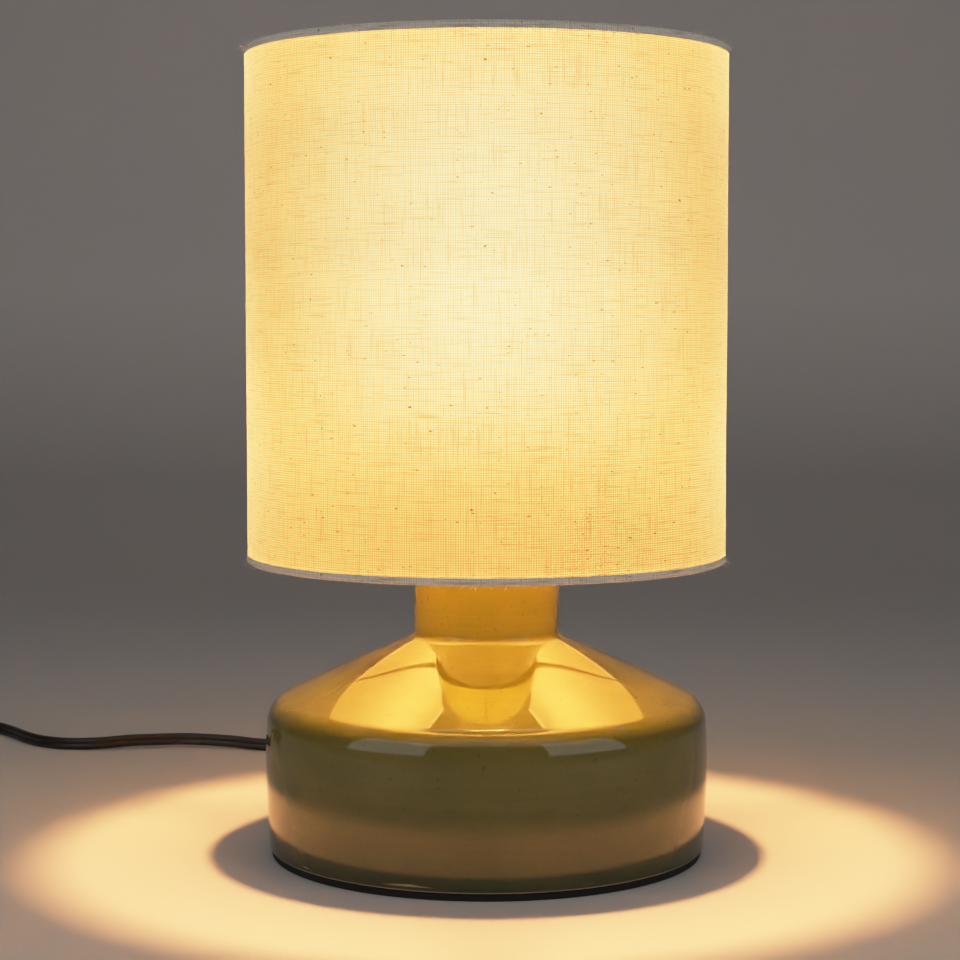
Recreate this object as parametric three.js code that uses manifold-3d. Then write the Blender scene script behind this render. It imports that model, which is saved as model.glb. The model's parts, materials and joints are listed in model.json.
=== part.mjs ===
// Table lamp: a glazed ceramic base, a linen drum shade and a cord with an inline switch.
// Millimetres, +Z up, the base stands on z = 0, its cord leaves at the back (+Y).
import * as THREE from 'three';
import { mergeVertices } from 'three/addons/utils/BufferGeometryUtils.js';
import Module from 'manifold-3d';

const wasm = await Module();
wasm.setup();

const lamp = new THREE.Group();

// Clearances
const gap = 0.3; // between pieces that touch
const slideFit = 0.4; // between pieces that pass over each other
const threadFit = 1.2; // between the collar's bore and the lampholder's shell
const hubFit = 1.6; // between the shade's hub and the lampholder's shell
const arcStep = THREE.MathUtils.degToRad(31); // coarsest step around a rounded corner

// Roundness of the turned pieces
const largeSides = 56;
const smallSides = 24;
const wireSides = 6;

// Ceramic base
const padRadius = 81.4;
const padThickness = 2.5;
const footRadius = 82.5;
const footRounding = 0.9;
const bellyRadius = 83.95;
const bellyHeight = 37;
const bellyRounding = 180;
const shoulderRadius = 82.75;
const shoulderHeight = 56.85;
const shoulderRounding = 13.6;
const coneSwell = 0.35;
const coneRounding = 150;
const neckRadius = 27.4;
const neckBase = 82.3;
const neckFillet = 3.4;
const neckTop = 113;
const neckRounding = 2;
const ceramicWall = 5;
const cordHoleRadius = 5.2;
const cordHoleHeight = 10.5;

// Threaded tube, and the cup that it clamps between the neck and the lampholder
const tubeRadius = 5;
const tubeBore = 3.6;
const tubeBelowNeck = 16;
const washerRadius = 12;
const washerThickness = 1.5;
const nutFlats = 14;
const nutThickness = 4;
const cupRadius = 29;
const cupHeight = 40;
const cupWall = 1;
const cupRounding = 2;

// Lampholder
const flangeRadius = 27.5;
const flangeThickness = 1.8;
const threadRadius = 19.9;
const shellWall = 2.6;
const shellHeight = 33.3;
const bossHeight = 5.4;
const bossWall = 3;
const coreRadius = 13.6;
const coreThickness = 5;
const screwShellWall = 0.5;
const screwShellHeight = 21;
const contactThickness = 0.8;
const terminalOffset = 9.2;

// Bulb
const capRadius = 13.1;
const capHeight = 18;
const capWall = 0.6;
const capThreads = 4;
const capThreadDepth = 0.9;
const tipRadius = 4.6;
const tipHeight = 1.4;
const sealHeight = 4.2;
const bulbRadius = 17.5;
const bulbHeight = 75;
const bulbMouth = 12.4;
const bulbWall = 0.9;
const stemRadius = 3.4;
const stemHeight = 34;
const filamentRadius = 0.8;
const filamentLength = 40;
const filamentStart = 21;
const filamentSpread = 5.6;
const filamentCount = 4;

// Shade
const shadeRadius = 90;
const shadeBottom = 110.9;
const shadeHeight = 190.6;
const fabricThickness = 0.7;
const linerThickness = 0.4;
const hemRadius = 1.55;
const hemWall = 0.35;
const hoopRadius = 0.8;
const hemMouth = THREE.MathUtils.degToRad(50);
const armRadius = 1.3;
const armCount = 3;
const hubRadius = 31.5;
const hubThickness = 1.5;
const gasketRadius = 27;
const gasketThickness = 0.8;
const collarRadius = 28.5;
const collarHeight = 8;
const collarRibs = 24;
const collarRibDepth = 1;

// Cord, switch and plug
const cordRadius = 2.8;
const cordSides = 8;
const cordBore = cordRadius + gap;
const glandLength = 28;
const glandFlangeRadius = 6.5;
const glandFlange = 2;
const glandRootRadius = 5;
const glandTipRadius = 4;
const switchLength = 62;
const switchWidth = 26;
const switchHeight = 17;
const switchWall = 2;
const switchCorner = 8;
const switchBevel = 1.6;
const switchCentre = new THREE.Vector3(14, 193, 0);
const rockerLength = 20;
const rockerWidth = 11;
const rockerPinRadius = 1.2;
const rockerTilt = THREE.MathUtils.degToRad(7);
const coilMiddleRadius = 31;
const coilCentre = new THREE.Vector3(-300, 249 - coilMiddleRadius, 0); // its far side stays by the cord's end
const tailEnd = 1.45 * Math.PI; // where the cord leaves the coil's top for the plug
const coilWidth = 16;
const coilHeight = 11.6;
const tieThickness = 0.9;
const tieWidth = 6;
const tieFit = 0.6;
const plugLength = 34;
const plugWidth = 35;
const plugThickness = 13.6;
const plugRear = 6;
const plugBevel = 2;
const plugSetback = 1.25; // from the middle of the cord's end to the plug
const pinRadius = 2;
const pinLength = 19;
const pinSpacing = 18.6;

// Finishes
const oliveGlaze = { color: 0x716b45, roughness: 0.12, metalness: 0 };
const blackFoam = { color: 0x15130f, roughness: 0.9, metalness: 0 };
const blackPlastic = { color: 0x14110e, roughness: 0.45, metalness: 0 };
const whitePlastic = { color: 0xe9e4d8, roughness: 0.4, metalness: 0 };
const whiteCeramic = { color: 0xf0ebe0, roughness: 0.5, metalness: 0 };
const zinc = { color: 0xb6b8ba, roughness: 0.35, metalness: 1 };
const brass = { color: 0xc9a14f, roughness: 0.3, metalness: 1 };
const nickel = { color: 0xc8c4bb, roughness: 0.22, metalness: 1 };
const linen = { color: 0xefe3c6, roughness: 0.95, metalness: 0 };
const whiteFilm = { color: 0xf4efe2, roughness: 0.55, metalness: 0 };
const whiteWire = { color: 0xe6e2d8, roughness: 0.4, metalness: 0.2 };
const clearGlass = { color: 0xf6f1e6, roughness: 0.05, metalness: 0, transparent: true, opacity: 0.35 };
const amberPhosphor = { color: 0xf2c14a, roughness: 0.5, metalness: 0 };
const greyFibre = { color: 0x8d8a84, roughness: 0.85, metalness: 0 };

function part(name, geometry, finish, x = 0, y = 0, z = 0) {
  const mesh = new THREE.Mesh(geometry, new THREE.MeshStandardMaterial(finish));
  mesh.name = name;
  mesh.position.set(x, y, z);
  lamp.add(mesh);
  return mesh;
}

// Solids that can be joined and cut
function solid(geometry) {
  const bare = geometry.clone();
  bare.deleteAttribute('normal');
  bare.deleteAttribute('uv');
  const merged = mergeVertices(bare, 1e-4);
  const vertProperties = new Float32Array(merged.attributes.position.array);
  const triVerts = new Uint32Array(merged.index.array);
  return new wasm.Manifold(new wasm.Mesh({ numProp: 3, vertProperties, triVerts }));
}

function shape(body) {
  const mesh = body.getMesh();
  const geometry = new THREE.BufferGeometry();
  geometry.setAttribute('position', new THREE.BufferAttribute(mesh.vertProperties, 3));
  geometry.setIndex(new THREE.BufferAttribute(mesh.triVerts, 1));
  geometry.computeVertexNormals();
  return geometry;
}

function cut(geometry, ...tools) {
  return shape(tools.reduce((body, tool) => body.subtract(solid(tool)), solid(geometry)));
}

// Rounds the corner of an outline, each corner given as [radius, height, rounding]
function roundCorner(before, corner, after) {
  const point = new THREE.Vector2(corner[0], corner[1]);
  const rounding = corner[2] ?? 0;
  if (rounding === 0) return [point];
  const toBefore = new THREE.Vector2(before[0], before[1]).sub(point).normalize();
  const toAfter = new THREE.Vector2(after[0], after[1]).sub(point).normalize();
  const half = Math.acos(toBefore.dot(toAfter)) / 2;
  const reach = rounding / Math.tan(half);
  const middle = toBefore.clone().add(toAfter).normalize().multiplyScalar(rounding / Math.sin(half));
  const centre = point.clone().add(middle);
  const from = point.clone().addScaledVector(toBefore, reach).sub(centre);
  const to = point.clone().addScaledVector(toAfter, reach).sub(centre);
  const turn = Math.atan2(from.cross(to), from.dot(to));
  const steps = Math.ceil(Math.abs(turn) / arcStep);
  const origin = new THREE.Vector2();
  return Array.from({ length: steps + 1 }, (_, i) =>
    from.clone().rotateAround(origin, (turn * i) / steps).add(centre));
}

function outline(corners) {
  const last = corners.length - 1;
  return corners.flatMap((corner, i) =>
    roundCorner(corners[i === 0 ? last : i - 1], corner, corners[i === last ? 0 : i + 1]));
}

function turned(points, sides) {
  const ordered = THREE.ShapeUtils.isClockWise(points) ? [...points].reverse() : points;
  return new THREE.LatheGeometry(ordered, sides).rotateX(Math.PI / 2);
}

// A turned ring or shell, hollow along its axis
function ring(corners, sides) {
  const points = outline(corners);
  return turned([...points, points[0].clone()], sides);
}

// A turned solid whose outline starts and ends on the axis
function spindle(corners, sides) {
  return turned(outline(corners), sides);
}

function tubeRing(inner, outer, bottom, top, sides) {
  return ring([[inner, bottom], [outer, bottom], [outer, top], [inner, top]], sides);
}

function rod(radius, bottom, top, sides = 16) {
  const length = top - bottom;
  return new THREE.CylinderGeometry(radius, radius, length, sides)
    .rotateX(Math.PI / 2)
    .translate(0, 0, bottom + length / 2);
}

function circlePoints(radius, sides) {
  return Array.from({ length: sides }, (_, i) => {
    const angle = ((i + 0.5) * 2 * Math.PI) / sides;
    return new THREE.Vector2(radius * Math.cos(angle), radius * Math.sin(angle));
  });
}

function polygon(radius, sides) {
  return new THREE.Shape(circlePoints(radius, sides));
}

function roundHole(radius, sides) {
  return new THREE.Path(circlePoints(radius, sides).reverse());
}

function swept(points, radius, sides, steps) {
  const extrudePath = new THREE.CatmullRomCurve3(points, false, 'centripetal');
  return new THREE.ExtrudeGeometry(polygon(radius, sides), { extrudePath, steps, bevelEnabled: false });
}

function roundedRectangle(length, width, corner) {
  const rectangle = new THREE.Shape();
  const x = length / 2 - corner;
  const y = width / 2 - corner;
  rectangle.absarc(x, y, corner, 0, Math.PI / 2);
  rectangle.absarc(-x, y, corner, Math.PI / 2, Math.PI);
  rectangle.absarc(-x, -y, corner, Math.PI, Math.PI * 1.5);
  rectangle.absarc(x, -y, corner, Math.PI * 1.5, Math.PI * 2);
  return rectangle;
}

function plate(flatShape, bottom, top) {
  return new THREE.ExtrudeGeometry(flatShape, { depth: top - bottom, bevelEnabled: false, curveSegments: 4 })
    .translate(0, 0, bottom);
}

// Heights that follow from the sizes above
const coilBottom = tieThickness + tieFit;
const coilTop = coilBottom + coilHeight;
const ceramicFoot = padThickness + gap;
const neckCeiling = neckTop - ceramicWall;
const cupBottom = neckTop + gap;
const cupTop = cupBottom + cupHeight;
const flangeBottom = cupTop + gap;
const flangeTop = flangeBottom + flangeThickness;
const hubBottom = flangeTop + gap;
const hubTop = hubBottom + hubThickness;
const gasketBottom = hubTop + gap;
const gasketTop = gasketBottom + gasketThickness;
const collarBottom = gasketTop + gap;
const shellBottom = flangeTop + gap;
const shellTop = shellBottom + shellHeight;
const coreBottom = flangeTop + bossHeight - gap;
const coreTop = coreBottom + coreThickness;
const contactBottom = coreTop + gap;
const contactTop = contactBottom + contactThickness;
const tipBottom = contactTop + gap;
const sealBottom = tipBottom + tipHeight + gap;
const capBottom = sealBottom + sealHeight + gap;
const capTop = capBottom + capHeight;
const glassBottom = capTop + gap;

function ceramicOuter() {
  const middleRadius = (shoulderRadius + neckRadius) / 2 + coneSwell / 2;
  const middleHeight = (shoulderHeight + neckBase) / 2 + coneSwell;
  return [
    [footRadius, ceramicFoot, footRounding],
    [bellyRadius, bellyHeight, bellyRounding],
    [shoulderRadius, shoulderHeight, shoulderRounding],
    [middleRadius, middleHeight, coneRounding],
    [neckRadius, neckBase, neckFillet],
    [neckRadius, neckTop, neckRounding],
    [tubeRadius + gap, neckTop],
  ];
}

function ceramicInner() {
  const innerNeck = neckRadius - ceramicWall;
  return [
    [tubeRadius + gap, neckCeiling],
    [innerNeck, neckCeiling],
    [innerNeck, neckBase - ceramicWall],
    [shoulderRadius - shoulderRounding, shoulderHeight - ceramicWall + 2],
    [shoulderRadius - ceramicWall, shoulderHeight - shoulderRounding],
    [bellyRadius - ceramicWall, bellyHeight],
    [footRadius - ceramicWall, ceramicFoot],
  ];
}

function acrossBack(radius, from, to, height, sides = 20) {
  return rod(radius, from, to, sides).rotateX(-Math.PI / 2).translate(0, 0, height);
}

function makeBase() {
  const body = ring([...ceramicOuter(), ...ceramicInner()], largeSides);
  const cordHole = acrossBack(cordHoleRadius, footRadius - 3 * ceramicWall, footRadius + ceramicWall, cordHoleHeight);
  part('ceramic_body', cut(body, cordHole), oliveGlaze);
  part('base_pad', rod(padRadius, 0, padThickness, largeSides), blackFoam);
}

function makeNeckFixing() {
  const washerTop = neckCeiling - gap;
  const washerBottom = washerTop - washerThickness;
  const nutTop = washerBottom - gap;
  const bore = tubeRadius + gap;
  const nut = polygon(nutFlats / 2 / Math.cos(Math.PI / 6), 6);
  nut.holes.push(roundHole(bore, 18));
  part('neck_washer', tubeRing(bore, washerRadius, washerBottom, washerTop, smallSides), zinc);
  part('neck_nut', plate(nut, nutTop - nutThickness, nutTop), zinc);
  part('threaded_tube', tubeRing(tubeBore, tubeRadius, neckTop - tubeBelowNeck, flangeTop, 16), zinc);
  part('neck_cup', ring([
    [bore, cupBottom],
    [cupRadius, cupBottom],
    [cupRadius, cupTop, cupRounding],
    [bore, cupTop],
    [bore, cupTop - cupWall],
    [cupRadius - cupWall, cupTop - cupWall],
    [cupRadius - cupWall, cupBottom + cupWall],
    [bore, cupBottom + cupWall],
  ], smallSides), brass);
}

function makeLampholder() {
  const bore = tubeRadius + gap;
  const shellInner = threadRadius - shellWall;
  const bossOuter = shellInner - gap;
  part('holder_base', tubeRing(bore, flangeRadius, flangeBottom, flangeTop, smallSides), whitePlastic);
  part('holder_boss', tubeRing(bossOuter - bossWall, bossOuter, shellBottom, flangeTop + bossHeight, smallSides),
    whitePlastic);
  part('holder_shell', tubeRing(shellInner, threadRadius, shellBottom, shellTop, smallSides), whitePlastic);
  part('holder_core', spindle([
    [0, coreBottom],
    [coreRadius, coreBottom],
    [coreRadius, coreTop],
    [0, coreTop],
  ], smallSides), whiteCeramic);
  const sleeve = capRadius + slideFit;
  const sleeveBottom = coreTop + gap;
  part('screw_shell', tubeRing(sleeve, sleeve + screwShellWall, sleeveBottom, sleeveBottom + screwShellHeight,
    smallSides), brass);
  part('centre_contact', new THREE.BoxGeometry(12, 4, contactThickness), brass,
    2, 0, contactBottom + contactThickness / 2);
  for (const [name, side] of [['left', -1], ['right', 1]]) {
    part(`terminal_screw_${name}`, rod(1.8, contactBottom, contactTop, 12), brass, 0, side * terminalOffset);
    const start = new THREE.Vector3(0, side * 1.2, flangeTop + gap + 0.9);
    const end = new THREE.Vector3(0, side * (terminalOffset - 1), coreBottom - gap - 0.9);
    const bend = new THREE.Vector3(0, side * 5, flangeTop + gap + 1.4);
    part(`terminal_wire_${name}`, swept([start, bend, end], 0.8, 6, 6), side < 0 ? brass : blackPlastic);
  }
}

// The cap's wall with a ridge for each turn of its thread
function capOutline() {
  const pitch = capHeight / (capThreads + 1);
  const ridges = Array.from({ length: capThreads }, (_, i) => {
    const middle = capBottom + (i + 0.75) * pitch;
    return [
      [capRadius - capThreadDepth, middle - pitch / 3],
      [capRadius, middle],
      [capRadius - capThreadDepth, middle + pitch / 3],
    ];
  }).flat();
  const inner = capRadius - capThreadDepth - capWall;
  return [
    [inner, capBottom],
    [capRadius - capThreadDepth, capBottom],
    ...ridges,
    [capRadius - capThreadDepth, capTop],
    [inner, capTop],
  ];
}

function makeBulb() {
  const capInner = capRadius - capThreadDepth - capWall;
  part('bulb_contact', spindle([[0, tipBottom], [tipRadius, tipBottom, 0.8], [tipRadius, tipBottom + tipHeight],
    [0, tipBottom + tipHeight]], 16), zinc);
  part('bulb_seal', spindle([[0, sealBottom], [tipRadius + 0.8, sealBottom], [capInner, sealBottom + sealHeight],
    [0, sealBottom + sealHeight]], smallSides), blackPlastic);
  part('bulb_cap', ring(capOutline(), smallSides), nickel);
  part('bulb_driver', new THREE.BoxGeometry(12, 1.6, capHeight - 5), greyFibre, 0, 0, capBottom + capHeight / 2 - 2);
  const bellyZ = glassBottom + bulbHeight * 0.36;
  part('bulb_glass', ring([
    [bulbMouth, glassBottom],
    [bulbMouth + 0.6, glassBottom + 6, 20],
    [bulbRadius + 1.1, bellyZ, 26],
    [7, glassBottom + bulbHeight - 5, 12],
    [2.4, glassBottom + bulbHeight, 1.6],
    [0.6, glassBottom + bulbHeight],
    [0.6, glassBottom + bulbHeight - 2 * bulbWall],
    [7 - bulbWall, glassBottom + bulbHeight - 5 - bulbWall],
    [bulbRadius - bulbWall, bellyZ + 7],
    [bulbRadius - bulbWall, bellyZ - 7],
    [bulbMouth + 0.6 - bulbWall, glassBottom + 6],
    [bulbMouth - bulbWall, glassBottom],
  ], smallSides), clearGlass);
  const stemTop = capTop - 2 + stemHeight;
  part('bulb_stem', spindle([[0, capTop - 2], [stemRadius * 2, capTop - 2, 1.5], [stemRadius, capTop + 5, 3],
    [1.6, stemTop], [0, stemTop]], 12), clearGlass);
  const lean = Math.atan2(filamentSpread - 2.6, filamentLength);
  for (let i = 0; i < filamentCount; i += 1) {
    const holder = new THREE.Group();
    holder.rotation.z = ((i + 0.5) * 2 * Math.PI) / filamentCount;
    const mesh = part(`filament_${i + 1}`, rod(filamentRadius, 0, filamentLength, 8), amberPhosphor);
    mesh.position.set(filamentSpread, 0, capTop + filamentStart);
    mesh.rotation.y = -lean;
    holder.add(mesh);
    lamp.add(holder);
  }
}

// A hem rolled round a wire hoop and open towards the inside of the shade
function hemOutline(height, mouthAngle) {
  const middle = shadeRadius - hemRadius;
  const count = 6;
  const arc = (radius, reverse) => Array.from({ length: count }, (_, i) => {
    const share = (reverse ? count - 1 - i : i) / (count - 1);
    const angle = mouthAngle + hemMouth / 2 + share * (2 * Math.PI - hemMouth);
    return [middle + radius * Math.cos(angle), height + radius * Math.sin(angle)];
  });
  return [...arc(hemRadius, false), ...arc(hemRadius - hemWall, true)];
}

function hoopOutline(height) {
  return Array.from({ length: wireSides }, (_, i) => {
    const angle = (i * 2 * Math.PI) / wireSides;
    return [shadeRadius - hemRadius + hoopRadius * Math.cos(angle), height + hoopRadius * Math.sin(angle)];
  });
}

function makeShadeCover() {
  const shadeTop = shadeBottom + shadeHeight;
  const fabricBottom = shadeBottom + 2 * hemRadius + gap;
  const fabricTop = shadeTop - 2 * hemRadius - gap;
  const fabricInner = shadeRadius - fabricThickness;
  part('shade_fabric', tubeRing(fabricInner, shadeRadius, fabricBottom, fabricTop, largeSides), linen);
  const linerOuter = fabricInner - gap;
  part('shade_liner', tubeRing(linerOuter - linerThickness, linerOuter, fabricBottom, fabricTop, largeSides), whiteFilm);
  const ends = [
    ['bottom', shadeBottom + hemRadius, Math.PI * 0.75],
    ['top', shadeTop - hemRadius, Math.PI * 1.25],
  ];
  for (const [name, height, mouth] of ends) {
    part(`${name}_hem`, ring(hemOutline(height, mouth), largeSides), linen);
    part(`${name}_hoop`, ring(hoopOutline(height), largeSides), whiteWire);
  }
}

function makeShadeFitting() {
  const hubInner = threadRadius + hubFit;
  part('shade_hub', ring([[hubInner, hubBottom], [hubRadius, hubBottom], [hubRadius, hubTop],
    [hubInner, hubTop]], 36), whiteWire);
  const inner = new THREE.Vector3(0, -(hubRadius + gap + armRadius), hubBottom + hubThickness / 2);
  const outer = new THREE.Vector3(0, -(shadeRadius - 2 * hemRadius - gap - armRadius), shadeBottom + hemRadius);
  for (let i = 0; i < armCount; i += 1) {
    const axis = new THREE.Vector3(0, 0, 1);
    const turn = (i * 2 * Math.PI) / armCount;
    const ends = [inner, inner.clone().lerp(outer, 0.5), outer].map((p) => p.clone().applyAxisAngle(axis, turn));
    part(`spider_arm_${i + 1}`, swept(ends, armRadius, wireSides, 1), whiteWire);
  }
  part('collar_gasket', tubeRing(hubInner, gasketRadius, gasketBottom, gasketTop, smallSides), greyFibre);
  const ribbed = new THREE.Shape(Array.from({ length: collarRibs * 2 }, (_, i) => {
    const angle = (i * Math.PI) / collarRibs;
    const radius = collarRadius - (i % 2) * collarRibDepth;
    return new THREE.Vector2(radius * Math.cos(angle), radius * Math.sin(angle));
  }));
  ribbed.holes.push(roundHole(threadRadius + threadFit, smallSides));
  part('shade_collar', plate(ribbed, collarBottom, collarBottom + collarHeight), whitePlastic);
}

// Route of the cord from the gland to the switch, then from the switch to the coil
const glandTip = footRadius + 2 + glandLength;
const switchEntry = switchHeight / 2;
const routeToSwitch = [
  [0, glandTip + gap, cordHoleHeight], [0, 119, 10], [2, 128.9, 7.9], [7.6, 137.4, 5.3], [16, 143, 3.4],
  [26, 145, 2.8], [38, 145.4, 2.8], [52, 145.4, 2.8], [65.5, 145.4, 2.8], [77.5, 148.6, 2.8], [86.3, 157.4, 2.8],
  [89.5, 169.4, 2.8], [86.3, 181.4, 2.8], [77.5, 190.2, 3], [65.5, 193.4, 4.6], [55.5, 193.5, 7.3],
  [switchCentre.x + switchLength / 2 + gap, switchCentre.y, switchEntry],
];
const routeToCoil = [
  [switchCentre.x - switchLength / 2 - gap, switchCentre.y, switchEntry], [-27, 193, 7.6], [-40, 193.2, 4.4],
  [-54, 193.6, 3], [-70, 194.6, 2.8], [-87, 196.4, 2.8], [-104, 199, 2.8], [-120, 204.6, 3.4],
  [-139, 207, 4], [-153, 206, 4], [-167, 204, 3.8], [-181, 200.6, 3.2], [-195, 201.4, 2.8],
  [-207.6, 207, 2.8], [-218, 218, 2.8], [-227.4, 232, 2.8], [-237.6, 244.4, 2.8], [-250, 252.4, 2.8],
  [-263, 255.4, 2.8], [-277, 254.6, 3.2],
];

function route(points) {
  return points.map(([x, y, z]) => new THREE.Vector3(x, y, z));
}

function makeGland() {
  const wall = footRadius + 2;
  const ringInside = footRadius - ceramicWall - 2.5;
  const gland = ring([
    [cordBore, ringInside - 3],
    [cordHoleRadius - gap, ringInside - 3],
    [cordHoleRadius - gap, wall],
    [glandFlangeRadius, wall],
    [glandFlangeRadius, wall + glandFlange],
    [glandRootRadius, wall + glandFlange],
    [glandTipRadius, wall + glandLength - gap],
    [cordBore, wall + glandLength - gap],
  ], 20).rotateX(-Math.PI / 2);
  part('cord_gland', gland, blackPlastic, 0, 0, cordHoleHeight);
  const keeper = tubeRing(cordHoleRadius, cordHoleRadius + 2, ringInside - 1.6, ringInside, 16).rotateX(-Math.PI / 2);
  part('gland_keeper', keeper, zinc, 0, 0, cordHoleHeight);
  const clip = cut(new THREE.BoxGeometry(12, 8, 11), acrossBack(cordBore, -6, 6, 0));
  part('cord_clip', clip, blackPlastic, 0, ringInside - 12, cordHoleHeight);
  part('clip_screw', rod(1.8, 0, 1.8, 12), zinc, 0, ringInside - 12, cordHoleHeight + 5.5 + gap);
  const inside = [[0, ringInside - 2, cordHoleHeight], [0, 62, cordHoleHeight], [0, 50, 11], [0, 34, 16], [0, 18, 34], [0, 6, 58],
    [0, 0.6, 80], [0, 0, neckTop - tubeBelowNeck - gap]];
  part('inner_cord', swept(route(inside), cordRadius, cordSides, 18), blackPlastic);
}

function makeCord() {
  part('cord_lead', swept(route(routeToSwitch), cordRadius, cordSides, 26), blackPlastic);
  part('cord_run', swept(route(routeToCoil), cordRadius, cordSides, 28), blackPlastic);
  const bottom = coilBottom;
  const top = coilTop;
  const inner = coilMiddleRadius - coilWidth / 2;
  const outer = coilMiddleRadius + coilWidth / 2;
  const coil = ring([[inner, bottom], [outer, bottom], [outer, top], [inner, top]], 28);
  part('cord_coil', coil, blackPlastic, coilCentre.x, coilCentre.y);
  const tail = Array.from({ length: 7 }, (_, i) => {
    const angle = Math.PI + (i / 6) * (tailEnd - Math.PI);
    const rise = Math.max(0, i - 3) * 1.35;
    return [coilCentre.x + coilMiddleRadius * Math.cos(angle), coilCentre.y + coilMiddleRadius * Math.sin(angle),
      top + gap + cordRadius + rise];
  });
  part('cord_tail', swept(route(tail), cordRadius, cordSides, 8), blackPlastic);
  const loopWidth = coilWidth + 2 * tieFit;
  const loopHeight = coilHeight + 2 * tieFit;
  const tieLoop = roundedRectangle(loopWidth + 2 * tieThickness, loopHeight + 2 * tieThickness, 1.4);
  tieLoop.holes.push(roundedRectangle(loopWidth, loopHeight, 0.5));
  const tie = new THREE.ExtrudeGeometry(tieLoop, { depth: tieWidth, bevelEnabled: false, curveSegments: 3 })
    .translate(0, 0, -tieWidth / 2)
    .rotateX(Math.PI / 2);
  part('coil_tie', tie, blackPlastic, coilCentre.x + coilMiddleRadius, coilCentre.y, (bottom + top) / 2);
}

function switchHalf(bottom, top, floorZ, ceilingZ) {
  const flat = roundedRectangle(switchLength - 2 * switchBevel, switchWidth - 2 * switchBevel,
    switchCorner - switchBevel);
  const block = new THREE.ExtrudeGeometry(flat, { depth: switchHeight - 2 * switchBevel, bevelSize: switchBevel,
    bevelThickness: switchBevel, bevelSegments: 2, curveSegments: 4 }).translate(0, 0, switchBevel);
  const keep = new THREE.BoxGeometry(2 * switchLength, 2 * switchWidth, top - bottom)
    .translate(0, 0, (top + bottom) / 2);
  const inside = roundedRectangle(switchLength - 2 * switchWall, switchWidth - 2 * switchWall,
    switchCorner - switchWall);
  const cordWay = rod(cordBore, -switchLength, switchLength).rotateY(Math.PI / 2).translate(0, 0, switchEntry);
  return shape(solid(block).intersect(solid(keep)).subtract(solid(plate(inside, floorZ, ceilingZ)))
    .subtract(solid(cordWay)));
}

function makeSwitch() {
  const { x, y } = switchCentre;
  const split = switchEntry;
  part('switch_base', switchHalf(0, split - gap / 2, switchWall, switchHeight), blackPlastic, x, y);
  const well = new THREE.BoxGeometry(rockerLength + 1.6, rockerWidth + 0.8, switchHeight)
    .translate(0, 0, switchHeight);
  part('switch_cover', cut(switchHalf(split + gap / 2, switchHeight, -switchWall, switchHeight - switchWall), well),
    blackPlastic, x, y);
  const pivotHeight = switchHeight - 3.4;
  const half = rockerLength / 2;
  const profile = new THREE.Shape([[-3, -3.4], [3, -3.4], [half, 1.2], [half, 3.6], [half - 1.2, 4.6], [0, 3.4],
    [-half + 1.2, 4.6], [-half, 3.6], [-half, 1.2]].map(([px, pz]) => new THREE.Vector2(px, pz)));
  profile.holes.push(roundHole(rockerPinRadius + gap, 12));
  const rocker = new THREE.ExtrudeGeometry(profile, { depth: rockerWidth, bevelEnabled: false, curveSegments: 6 })
    .rotateX(Math.PI / 2)
    .translate(0, rockerWidth / 2, 0);
  part('switch_rocker', rocker, blackPlastic, x, y, pivotHeight).rotation.y = -rockerTilt;
  const pinReach = switchWidth / 2 - switchWall - gap;
  part('rocker_pin', rod(rockerPinRadius, -pinReach, pinReach, 12).rotateX(Math.PI / 2), zinc, x, y, pivotHeight);
  part('switch_contact', new THREE.BoxGeometry(14, 6, 0.8), brass, x, y, switchWall + gap + 2);
  for (const side of [-1, 1]) {
    part(`switch_screw_${side < 0 ? 'left' : 'right'}`, rod(1.5, switchWall + gap, switchHeight - switchWall - gap, 10),
      zinc, x + side * (switchLength / 2 - 9), y + side * (switchWidth / 2 - 5.5));
  }
}

function makePlug() {
  const start = new THREE.Vector3(coilCentre.x + coilMiddleRadius * Math.cos(tailEnd) + plugSetback,
    coilCentre.y - coilMiddleRadius, coilTop + gap + plugThickness / 2);
  const half = plugWidth / 2 - plugBevel;
  const front = plugLength - plugBevel;
  const flat = new THREE.Shape([[plugBevel, -plugRear + plugBevel], [13, -9], [22, -half], [front, -half],
    [front, half], [22, half], [13, 9], [plugBevel, plugRear - plugBevel]].map(([px, py]) => new THREE.Vector2(px, py)));
  const body = new THREE.ExtrudeGeometry(flat, { depth: plugThickness - 2 * plugBevel, bevelSize: plugBevel,
    bevelThickness: plugBevel, bevelSegments: 2 }).translate(0, 0, plugBevel - plugThickness / 2);
  part('plug_body', body, blackPlastic, start.x, start.y, start.z);
  for (const side of [-1, 1]) {
    const pin = spindle([[0, 0], [pinRadius, 0], [pinRadius, pinLength, 1.2], [0, pinLength]], 12)
      .rotateY(Math.PI / 2);
    part(`plug_pin_${side < 0 ? 'left' : 'right'}`, pin, nickel, start.x + plugLength + gap,
      start.y + side * (pinSpacing / 2), start.z);
  }
}

makeBase();
makeNeckFixing();
makeLampholder();
makeBulb();
makeShadeCover();
makeShadeFitting();
makeGland();
makeCord();
makeSwitch();
makePlug();

export default lamp;
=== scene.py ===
import bmesh
import bpy
import json
import math
import random
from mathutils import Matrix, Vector, noise


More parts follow.
